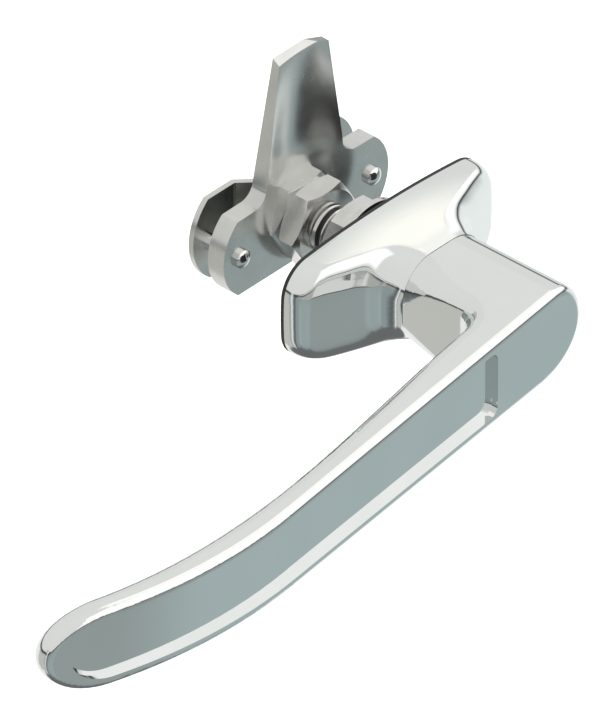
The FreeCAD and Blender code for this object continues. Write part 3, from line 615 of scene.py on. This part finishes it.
def look_back(obj, way):
    """Turns a camera or lamp that stands in this direction towards the latch."""
    obj.rotation_mode = "QUATERNION"
    obj.rotation_quaternion = (-way).to_track_quat("-Z", "Y")


def photo_camera():
    back = towards(AZIMUTH, ELEVATION)
    right = Vector((math.cos(math.radians(AZIMUTH)), math.sin(math.radians(AZIMUTH)), 0.0))
    centre = right * (IMAGE_WIDTH / 2 - ORIGIN_ACROSS) / PIXELS_PER_METRE
    centre += back.cross(right) * (ORIGIN_DOWN - IMAGE_HEIGHT / 2) / PIXELS_PER_METRE
    distance = LENS / SENSOR_WIDTH * IMAGE_HEIGHT / PIXELS_PER_METRE
    data = bpy.data.cameras.new("camera")
    data.lens, data.sensor_width = LENS, SENSOR_WIDTH
    data.clip_start, data.clip_end = NEAREST, FURTHEST
    made = bpy.data.objects.new("camera", data)
    made.location = centre + back * distance
    look_back(made, back)
    bpy.context.collection.objects.link(made)
    print("camera distance in m:", round(distance, 3))
    return made


bpy.context.scene.camera = photo_camera()


# %% [markdown]
# Polished metal shows the room, so the room is the most important part of its look. It could be a
# panorama of a real studio. A formula is used here: a ramp from the floor to the ceiling, and soft
# windows of light and dark on top of it. Each window is placed by its turn, which is 0 on the handle
# side and 90 on +X, and by its height over the horizon, both in degrees.
# The narrow dark band at the horizon draws the thin lines along rounded edges, as in a real studio
# where the white floor ends.

# %% Sky and windows of the studio
SKY = [
    # degrees above the horizon, colour
    (-90, (0.16, 0.165, 0.165)),
    (-60, (0.17, 0.18, 0.18)),
    (-50, (0.40, 0.475, 0.48)),
    (-36, (0.43, 0.515, 0.52)),
    (-8, (0.33, 0.37, 0.37)),
    (-2.5, (0.06, 0.06, 0.06)),
    (1.5, (0.06, 0.06, 0.06)),
    (5, (0.85, 0.85, 0.84)),
    (35, (0.85, 0.865, 0.845)),
    (90, (0.9, 0.9, 0.89)),
]
WINDOWS = [
    # turn from, to and fade, height from, to and fade, colour, amount
    (-20, 104, 5, 9, 66, 5, (1.3, 1.3, 1.29), 1.0),
    (104, 130, 9, 38, 64, 8, (1.3, 1.28, 1.2), 0.95),
    (138, 200, 8, -62, -4, 4, (1.0, 1.0, 0.98), 1.0),
    (-200, -150, 8, -62, -4, 4, (1.0, 1.0, 0.98), 1.0),
    (-150, -104, 6, -62, -4, 4, (0.62, 0.62, 0.585), 1.0),
    (-14, 26, 12, -56, -4, 5, (0.30, 0.335, 0.33), 0.7),
    (-110, -62, 8, -62, -4, 4, (0.31, 0.36, 0.365), 1.0),
    (-89, -80, 5, -64, 2, 8, (0.08, 0.08, 0.08), 0.75),
    (72, 126, 7, -62, -4, 6, (0.95, 1.0, 0.985), 1.0),
    (-104, -95, 5, -64, 5, 8, (1.0, 1.0, 1.0), 0.9),
    (-56, -18, 8, -62, -4, 6, (0.36, 0.42, 0.425), 0.8),
]
print("studio: heights", len(SKY), "windows", len(WINDOWS))


# %% [markdown]
# The world shader gets the direction of each ray. The arcsine of its upright part is the height, and
# the angle of its flat part is the turn. A window is the product of four soft edges, and painting it
# is a mix of what lies under it with its colour. The mix node has sockets for numbers, vectors and
# colours under the same names, so those for colours are taken by their number.

# %% Painting by direction
MIX_UNDER, MIX_OVER, MIX_RESULT = 6, 7, 2


def window(tree, value, low, high, soft):
    rises = edge_of(tree, value, low - soft, low + soft)
    falls = edge_of(tree, value, high - soft, high + soft)
    return math_node(tree, "MULTIPLY", rises, math_node(tree, "SUBTRACT", 1.0, falls))


def paint(tree, under, mask, colour, amount):
    made = node(tree, "ShaderNodeMix", data_type="RGBA")
    tree.links.new(math_node(tree, "MULTIPLY", mask, amount), made.inputs["Factor"])
    tree.links.new(under, made.inputs[MIX_UNDER])
    made.inputs[MIX_OVER].default_value = (*colour, 1.0)
    return made.outputs[MIX_RESULT]


def turn_and_height(tree):
    x, y, z = split_axes(tree, node(tree, "ShaderNodeTexCoord").outputs["Generated"])
    degrees = math.degrees(1.0)
    flat = math_node(tree, "ARCTAN2", x, math_node(tree, "MULTIPLY", y, -1.0))
    turn = math_node(tree, "MULTIPLY", flat, degrees)
    return turn, math_node(tree, "MULTIPLY", math_node(tree, "ARCSINE", z), degrees)


def sky_ramp(tree, height):
    scaled = node(tree, "ShaderNodeMapRange")
    scaled.inputs["From Min"].default_value = -90.0
    scaled.inputs["From Max"].default_value = 90.0
    tree.links.new(height, scaled.inputs["Value"])
    ramp = node(tree, "ShaderNodeValToRGB")
    tree.links.new(scaled.outputs["Result"], ramp.inputs["Fac"])
    steps = ramp.color_ramp.elements
    for step, (place, colour) in zip(steps, (SKY[0], SKY[-1])):
        step.position = (place + 90) / 180
        step.color = (*colour, 1.0)
    for place, colour in SKY[1:-1]:
        steps.new((place + 90) / 180).color = (*colour, 1.0)
    return ramp.outputs["Color"]


# %% [markdown]
# The metal should see the studio and the camera should see plain white behind the latch. The light
# path node knows whether a ray comes straight from the camera, so it can choose between the two.

# %% World
WHITE_STRENGTH = 1.02


def background(tree):
    return node(tree, "ShaderNodeBackground")


def studio_world():
    world = bpy.data.worlds.new("studio")
    world.use_nodes = True
    tree = world.node_tree
    tree.nodes.clear()
    turn, height = turn_and_height(tree)
    sky = sky_ramp(tree, height)
    for left, right, turn_fade, low, high, height_fade, colour, amount in WINDOWS:
        across = window(tree, turn, left, right, turn_fade)
        mask = math_node(tree, "MULTIPLY", across, window(tree, height, low, high, height_fade))
        sky = paint(tree, sky, mask, colour, amount)
    studio, plain = background(tree), background(tree)
    tree.links.new(sky, studio.inputs["Color"])
    plain.inputs["Color"].default_value = (1.0, 1.0, 1.0, 1.0)
    plain.inputs["Strength"].default_value = WHITE_STRENGTH
    path, choice = node(tree, "ShaderNodeLightPath"), node(tree, "ShaderNodeMixShader")
    tree.links.new(path.outputs["Is Camera Ray"], choice.inputs["Fac"])
    tree.links.new(studio.outputs["Background"], choice.inputs[1])
    tree.links.new(plain.outputs["Background"], choice.inputs[2])
    tree.links.new(choice.outputs["Shader"], node(tree, "ShaderNodeOutputWorld").inputs["Surface"])
    print("world nodes:", len(tree.nodes))
    return world


bpy.context.scene.world = studio_world()
bpy.context.scene.view_settings.view_transform = "Standard"


# %% [markdown]
# The world alone gives light with hardly a shadow. Two area lamps add a soft one on the floor and
# some shape on the rubber. They are hidden from reflections, because a square lamp would show as a
# hard-edged patch in the chrome.

# %% Soft lamps
LAMP_DISTANCE = 1.2
LAMPS = [
    # name, azimuth, elevation, side length, watts
    ("key", 40.0, 50.0, 0.5, 7.0),
    ("rim", 158.0, 40.0, 0.3, 2.5),
]


def lamp(name, azimuth, elevation, side, watts):
    way = towards(azimuth, elevation)
    light = bpy.data.lights.new(name, "AREA")
    light.size = side
    light.energy = watts
    made = bpy.data.objects.new(name, light)
    made.location = way * LAMP_DISTANCE
    look_back(made, way)
    made.visible_glossy = False
    bpy.context.collection.objects.link(made)


for row in LAMPS:
    lamp(*row)
print("lamps:", [row[0] for row in LAMPS])


# %% [markdown]
# The floor could be a large plane. A disc made with the circle operator has no corner in view. It
# lies well below the latch, so that the lever stays clear of it when it hangs straight down. It
# isn't seen in reflections, since the world draws the floor there, but it keeps the shadow. A little
# glow for the camera alone brings it up to the white of the background.

# %% Pale floor
FLOOR_DROP, FLOOR_RADIUS, FLOOR_STEPS = 0.16, 2.0, 96
FLOOR_Z = cad_low[2] - FLOOR_DROP
FLOOR_GLOW = 0.35


def pale_floor():
    mat, tree, shader = material("pale_floor")
    cloud = noise(tree, 3.0, 3.0, 0.5)
    tree.links.new(tint(tree, cloud, (0.84, 0.84, 0.84), (0.86, 0.86, 0.86)), shader.inputs["Base Color"])
    shader.inputs["Roughness"].default_value = 0.9
    path = node(tree, "ShaderNodeLightPath")
    glow = math_node(tree, "MULTIPLY", path.outputs["Is Camera Ray"], FLOOR_GLOW)
    tree.links.new(glow, shader.inputs["Emission Strength"])
    shader.inputs["Emission Color"].default_value = (1.0, 1.0, 1.0, 1.0)
    return mat


def floor():
    bm = bmesh.new()
    bmesh.ops.create_circle(
        bm, cap_ends=True, segments=FLOOR_STEPS, radius=FLOOR_RADIUS,
        matrix=Matrix.Translation((0, 0, FLOOR_Z)))
    obj = new_object("floor", bm)
    obj.data.materials.append(pale_floor())
    obj.visible_glossy = False
    print("floor height in m:", round(FLOOR_Z, 3))


floor()
